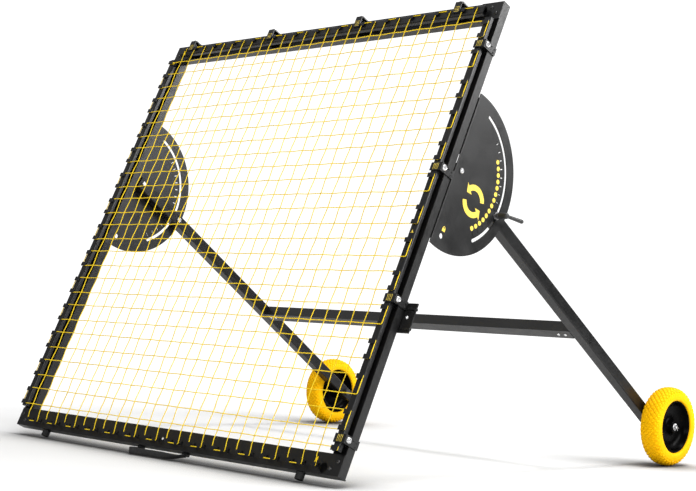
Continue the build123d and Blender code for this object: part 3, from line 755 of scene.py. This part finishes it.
def make_tension_bolts(node, face):
    """Pulling bolts: a domed head outside the tensioner and a threaded shank across to the rail. Face is
    the number of the frame's axis along which they lie."""
    way = AXES[face]
    pitch, crest, root = 0.001, 0.00295, 0.00245
    shape = Shape()
    for low, high in shells(node):
        place = middle_of((low, high))
        place[face] = high[face] - BUTTON_H
        seat = on_frame(*place)
        button_head(shape, seat, way, (high[2] - low[2]) / 2, BUTTON_H)
        length = high[face] - low[face] - BUTTON_H
        thread = [(-0.001, 0.003), (-0.0045, 0.003)]
        for k in range(int((length - 0.0055) / pitch)):
            top = -0.0048 - k * pitch
            thread += [(top, crest), (top - 0.5 * pitch, root)]
        thread.append((-length, 0.0022))
        shape.lathe(seat, way, thread[::-1], 16)
    obj = shape.build(f"{node}_threaded", ZINC, "frame", 25)
    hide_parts(node)


make_eyelets()
make_tension_bolts("side_tension_bolts", 0)
make_tension_bolts("top_tension_bolts", 1)


def make_bar_screws():
    """Screws that hold the cross bar's sockets, on the side of the leg frame that faces down."""
    shape = Shape()
    for _, side in SIDES:
        for x in (0.545, 0.567):
            button_head(shape, on_leg(side * x, BAR_AT, -LEG_W / 2), -LEG_UP, 0.0045, 0.0025)
    obj = shape.build("bar_screw_heads", ZINC, "legs")
    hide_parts("bar_screws")


def make_pivots():
    """Pivot bolts: a broad washer, a domed head and the shaft through disc and leg."""
    for name, side in SIDES:
        way = side * X_AXIS
        seat = PIVOT + side * DISC_OUT * X_AXIS
        shape = Shape()
        button_head(shape, seat + (WASHER_T - 0.0001) * way, way, 0.0066, 0.0035)
        length = 0.044
        shape.lathe(seat - length * way, way, [(0, 0.0052), (0.0008, 0.006), (length, 0.006)], 28)
        obj = shape.build(f"{name}_pivot_bolt_head", ZINC, "frame")
        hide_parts(f"{name}_pivot_bolt")
        washer = Shape()
        rim = [(0, 0.0088), (0.0003, 0.009), (0.0012, 0.009), (WASHER_T, 0.0086), (WASHER_T, 0.004)]
        washer.lathe(seat, way, rim, 36)
        obj = washer.build(f"{name}_pivot_washer", HANDLE, "frame")
        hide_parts(f"{name}_pivot_bolt")


def make_axle_nuts():
    """Axle nuts in the bowls of the hubs, each secured by a split pin through the end of its axle."""
    for name, side in SIDES:
        way = side * X_AXIS
        seat = AXLE + side * NUT_OUT * X_AXIS
        shape = Shape()
        hexagon_nut(shape, seat, way, 0.0082, 0.0036, 0.0048)
        obj = shape.build(f"{name}_axle_nut_hexagon", ZINC, BODY_OF[f"{name}_axle_nut"])
        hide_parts(f"{name}_axle_nut")
        pin = Shape()
        along, across = Vector((0, 0.84, -0.54)), Vector((0, 0.54, 0.84))
        for aside in (-1, 1):
            leg = [(-0.0100, 0.0012), (-0.0085, 0.0018), (-0.0060, 0.0007)]
            leg += [(0.0060, 0.0006), (0.0085, 0.0016), (0.0125, 0.0048)]
            path = [seat + 0.0042 * way + u * along + aside * v * across for u, v in leg]
            pin.tube(smooth_turn(path, 0.0015, 3), 0.0007, 8)
        obj = pin.build(f"{name}_split_pin", ZINC, BODY_OF[f"{name}_axle_nut"])
        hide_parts(f"{name}_axle_nut")


make_bar_screws()
make_pivots()
make_axle_nuts()


# ---------------------------------------------------------------- levers
def make_levers():
    """Clamping levers: a domed hub on a metal collar, and a handle that swells towards its round end."""
    for name, side in SIDES:
        way = side * X_AXIS
        shape = Shape()
        base = on_leg(side * LEVER_OUT, SLOT_R, 0)
        hub = [
            (0.0060, 0.0074), (0.0068, 0.0082), (0.0180, 0.0080), (0.0260, 0.0078), (0.0300, 0.0070),
            (0.0315, 0.0055), (0.0318, 0.0040),
        ]
        shape.lathe(base, way, hub, 40)
        reach = (side * 0.004 * X_AXIS + 0.056 * LEG_DOWN + 0.026 * LEG_UP).normalized()
        start = on_leg(side * HANDLE_OUT, SLOT_R, 0)
        tip = 0.0052
        handle = [(0.0, 0.0044), (0.012, 0.0043), (0.030, 0.0046), (0.048, 0.0050), (0.056, tip)]
        handle += [(0.0588 + tip * math.sin(a), tip * math.cos(a)) for a in (0.0, 0.4, 0.8, 1.2, 1.45)]
        shape.lathe(start, reach, handle, 28)
        obj = shape.build(f"{name}_lever_handle", HANDLE, f"{name}_lever", 40)
        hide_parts(f"{name}_lock_lever")
        collar = Shape()
        rim = [(0, 0.0070), (0.0006, 0.0074), (0.0052, 0.0074), (0.0058, 0.0070), (0.0064, 0.0060)]
        collar.lathe(base, way, rim, 36)
        obj = collar.build(f"{name}_lever_collar", DARK_ZINC, f"{name}_lever")
        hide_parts(f"{name}_lock_lever")


make_levers()


# ---------------------------------------------------------------- feet and strap
def make_feet():
    """Rubber feet: a flat flange below the channel, a ribbed barrel and a rounded sole."""
    for name, _ in SIDES:
        x, _, z = middle_of(shells(f"{name}_foot")[0])
        profile = [(0, 0.0104), (0.0006, 0.011), (0.0022, 0.011), (0.0027, 0.0103)]
        for k in range(5):
            start = 0.0030 + 0.0022 * k
            profile += [(start, 0.0101), (start + 0.0004, 0.0107)]
            profile += [(start + 0.0013, 0.0107), (start + 0.0017, 0.0101)]
        profile += [(0.0146, 0.0106), (0.0162, 0.0105), (0.0169, 0.0096), (0.0170, 0.006), (0.0170, 0.003)]
        shape = Shape()
        shape.lathe(on_frame(x, 0, z), -POST_UP, profile, 40)
        obj = shape.build(f"{name}_foot_ribbed", RUBBER, "frame", 50)
        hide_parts(f"{name}_foot")


def ribbon(stops, half_width, half_thickness):
    """Rings of a flat band through (place, direction of its width) stops, with rounded edges."""
    dense, steps = [], 10
    for i in range(len(stops) - 1):
        places, widths = zip(*neighbours(stops, i))
        for k in range(steps + (i == len(stops) - 2)):
            dense.append((blended(places, k / steps), blended(widths, k / steps)))
    half_section = [(1, 0.4), (1, -0.4), (0.93, -1), (0, -1), (-0.93, -1)]
    section = half_section + [(-u, -v) for u, v in half_section]
    rings = []
    for i, (place, width) in enumerate(dense):
        ahead = (dense[min(i + 1, len(dense) - 1)][0] - dense[max(i - 1, 0)][0]).normalized()
        width = (width - width.dot(ahead) * ahead).normalized()
        out = width.cross(ahead)
        rings.append([place + u * half_width * width + v * half_thickness * out for u, v in section])
    return rings


def make_strap():
    """Carrying strap: flat under the channel at both ends, on edge in front of it between them."""
    front, leaning = Vector((0, ORIGIN.y, 0)), Vector((0, -0.55, 0.83))
    route = [
        (-0.078, 0.0090, 0.0145, OUT), (-0.083, 0.0030, 0.0125, OUT), (-0.091, -0.0060, 0.0105, leaning),
        (-0.0935, -0.0135, 0.0100, Z_AXIS), (-0.089, -0.0180, 0.0100, Z_AXIS),
        (-0.070, -0.0178, 0.0100, Z_AXIS), (-0.030, -0.0150, 0.0100, Z_AXIS),
        (0.020, -0.0118, 0.0100, Z_AXIS), (0.060, -0.0070, 0.0102, leaning),
        (0.082, 0.0010, 0.0120, OUT), (0.094, 0.0090, 0.0145, OUT),
    ]
    stops = [(front + Vector((x, y, z)), width) for x, y, z, width in route]
    shape = Shape()
    shape.add_rings(ribbon(stops, 0.0083, 0.0011))
    obj = shape.build("carry_strap_band", WEBBING, "frame", 50)
    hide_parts("carry_strap")


make_feet()
make_strap()


# ---------------------------------------------------------------- printed marks
def mark(shape, outline, place):
    """A thin printed field from its outline, which runs anticlockwise as it is seen."""
    count = len(outline)
    points = [place(u, v, h) for h in (0.0, PRINT_T) for u, v in outline]
    faces = [tuple(range(count, 2 * count)), tuple(range(count))[::-1]]
    faces += [(i, (i + 1) % count, count + (i + 1) % count, count + i) for i in range(count)]
    shape.add(points, faces)


def disc_place(side):
    """What places a mark's points on the outer face of a disc: back from the pivot, up the post and out."""

    def place(u, v, h):
        return PIVOT + side * (DISC_OUT + h) * X_AXIS - u * OUT + v * POST_UP

    return place


def about(middle, corners):
    """Flat points from (radius, angle) pairs about a middle."""
    return [(middle[0] + r * math.cos(a), middle[1] + r * math.sin(a)) for r, a in corners]


def arc(middle, radius, start, end, steps):
    """Flat points along an arc about a middle, with both its ends."""
    return about(middle, [(radius, start + (end - start) * k / steps) for k in range(steps + 1)])


def circle(middle, radius):
    """The outline of a round field."""
    return arc(middle, radius, 0, math.tau, 28)[:-1]


def rectangle(middle, half_u, half_v):
    """The outline of a square-cornered field."""
    signs = ((-1, -1), (1, -1), (1, 1), (-1, 1))
    return [(middle[0] + i * half_u, middle[1] + k * half_v) for i, k in signs]


def turned(radius, angle):
    """A flat point at a radius from the pivot, turned back by an angle from straight up the post."""
    a = math.radians(angle)
    return radius * math.sin(a), radius * math.cos(a)


def bow(middle, inner, outer, start, end):
    """The outline of a band along an arc."""
    return arc(middle, outer, start, end, 10) + arc(middle, inner, end, start, 10)


def arrow(middle, radius, width, start, end):
    """The outline of a curved arrow: a band along an arc, with a head at its end."""
    outer = arc(middle, radius + width / 2, start, end, 14)
    head = about(middle, [(radius + 1.15 * width, end), (radius, end + 0.42), (radius - 1.15 * width, end)])
    return outer + head + arc(middle, radius - width / 2, end, start, 14)


def make_disc_marks():
    """A row of round marks along the scale, a padlock by the transport hole and two curved arrows."""
    dots, first_dot, last_dot = 14, 51.7, 136.0
    fields = []
    for k in range(dots):
        fields.append(circle(turned(0.141, first_dot + (last_dot - first_dot) * k / (dots - 1)), 0.0058))
    u, v = turned(0.153, 176.9)
    fields.append(rectangle((u, v - 0.001), 0.0055, 0.004))
    fields.append(bow((u, v + 0.003), 0.0032, 0.0046, 0, math.pi))
    for start in (0.35, 0.35 + math.pi):
        fields.append(arrow((0.073, -0.042), 0.033, 0.014, start, start + 2.10))
    for name, side in SIDES:
        place = disc_place(side)
        shape = Shape()
        for field in fields:
            mark(shape, field, place)
        if side < 0:
            shape.faces = [face[::-1] for face in shape.faces]
        shape.build(f"{name}_disc_marks", PRINT, "frame", 60)


def make_stripes():
    """Four fine stripes on the front of each tensioner, along its rail."""
    shape = Shape()
    half_width, half_length, pitch = 0.00055, 0.0082, 0.0045
    for k in range(1, 5):
        _, y, _ = middle_of(shells(f"side_tensioner_{k}")[0])
        x, _, _ = middle_of(shells(f"top_tensioner_{k}")[0])
        stripes = [rectangle((0.5985 + i * pitch, y), half_width, half_length) for i in range(4)]
        stripes += [rectangle((x, 1.2135 + i * pitch), half_length, half_width) for i in range(4)]
        for stripe in stripes:
            mark(shape, stripe, lambda u, v, h: on_frame(u, v, CLAMP_FRONT + h))
    shape.build("tensioner_stripes", PRINT, "frame", 60)


def make_rail_mark():
    """A small triangle on the right rail, about halfway up."""
    shape = Shape()
    x, y = 0.6010, 0.5935
    triangle = [(x - 0.0045, y - 0.0035), (x + 0.0045, y - 0.0035), (x, y + 0.0045)]
    mark(shape, triangle, lambda u, v, h: on_frame(u, v, RAIL_FRONT + h))
    shape.build("rail_mark", PRINT, "tension_rail_right", 60)


make_disc_marks()
make_stripes()
make_rail_mark()
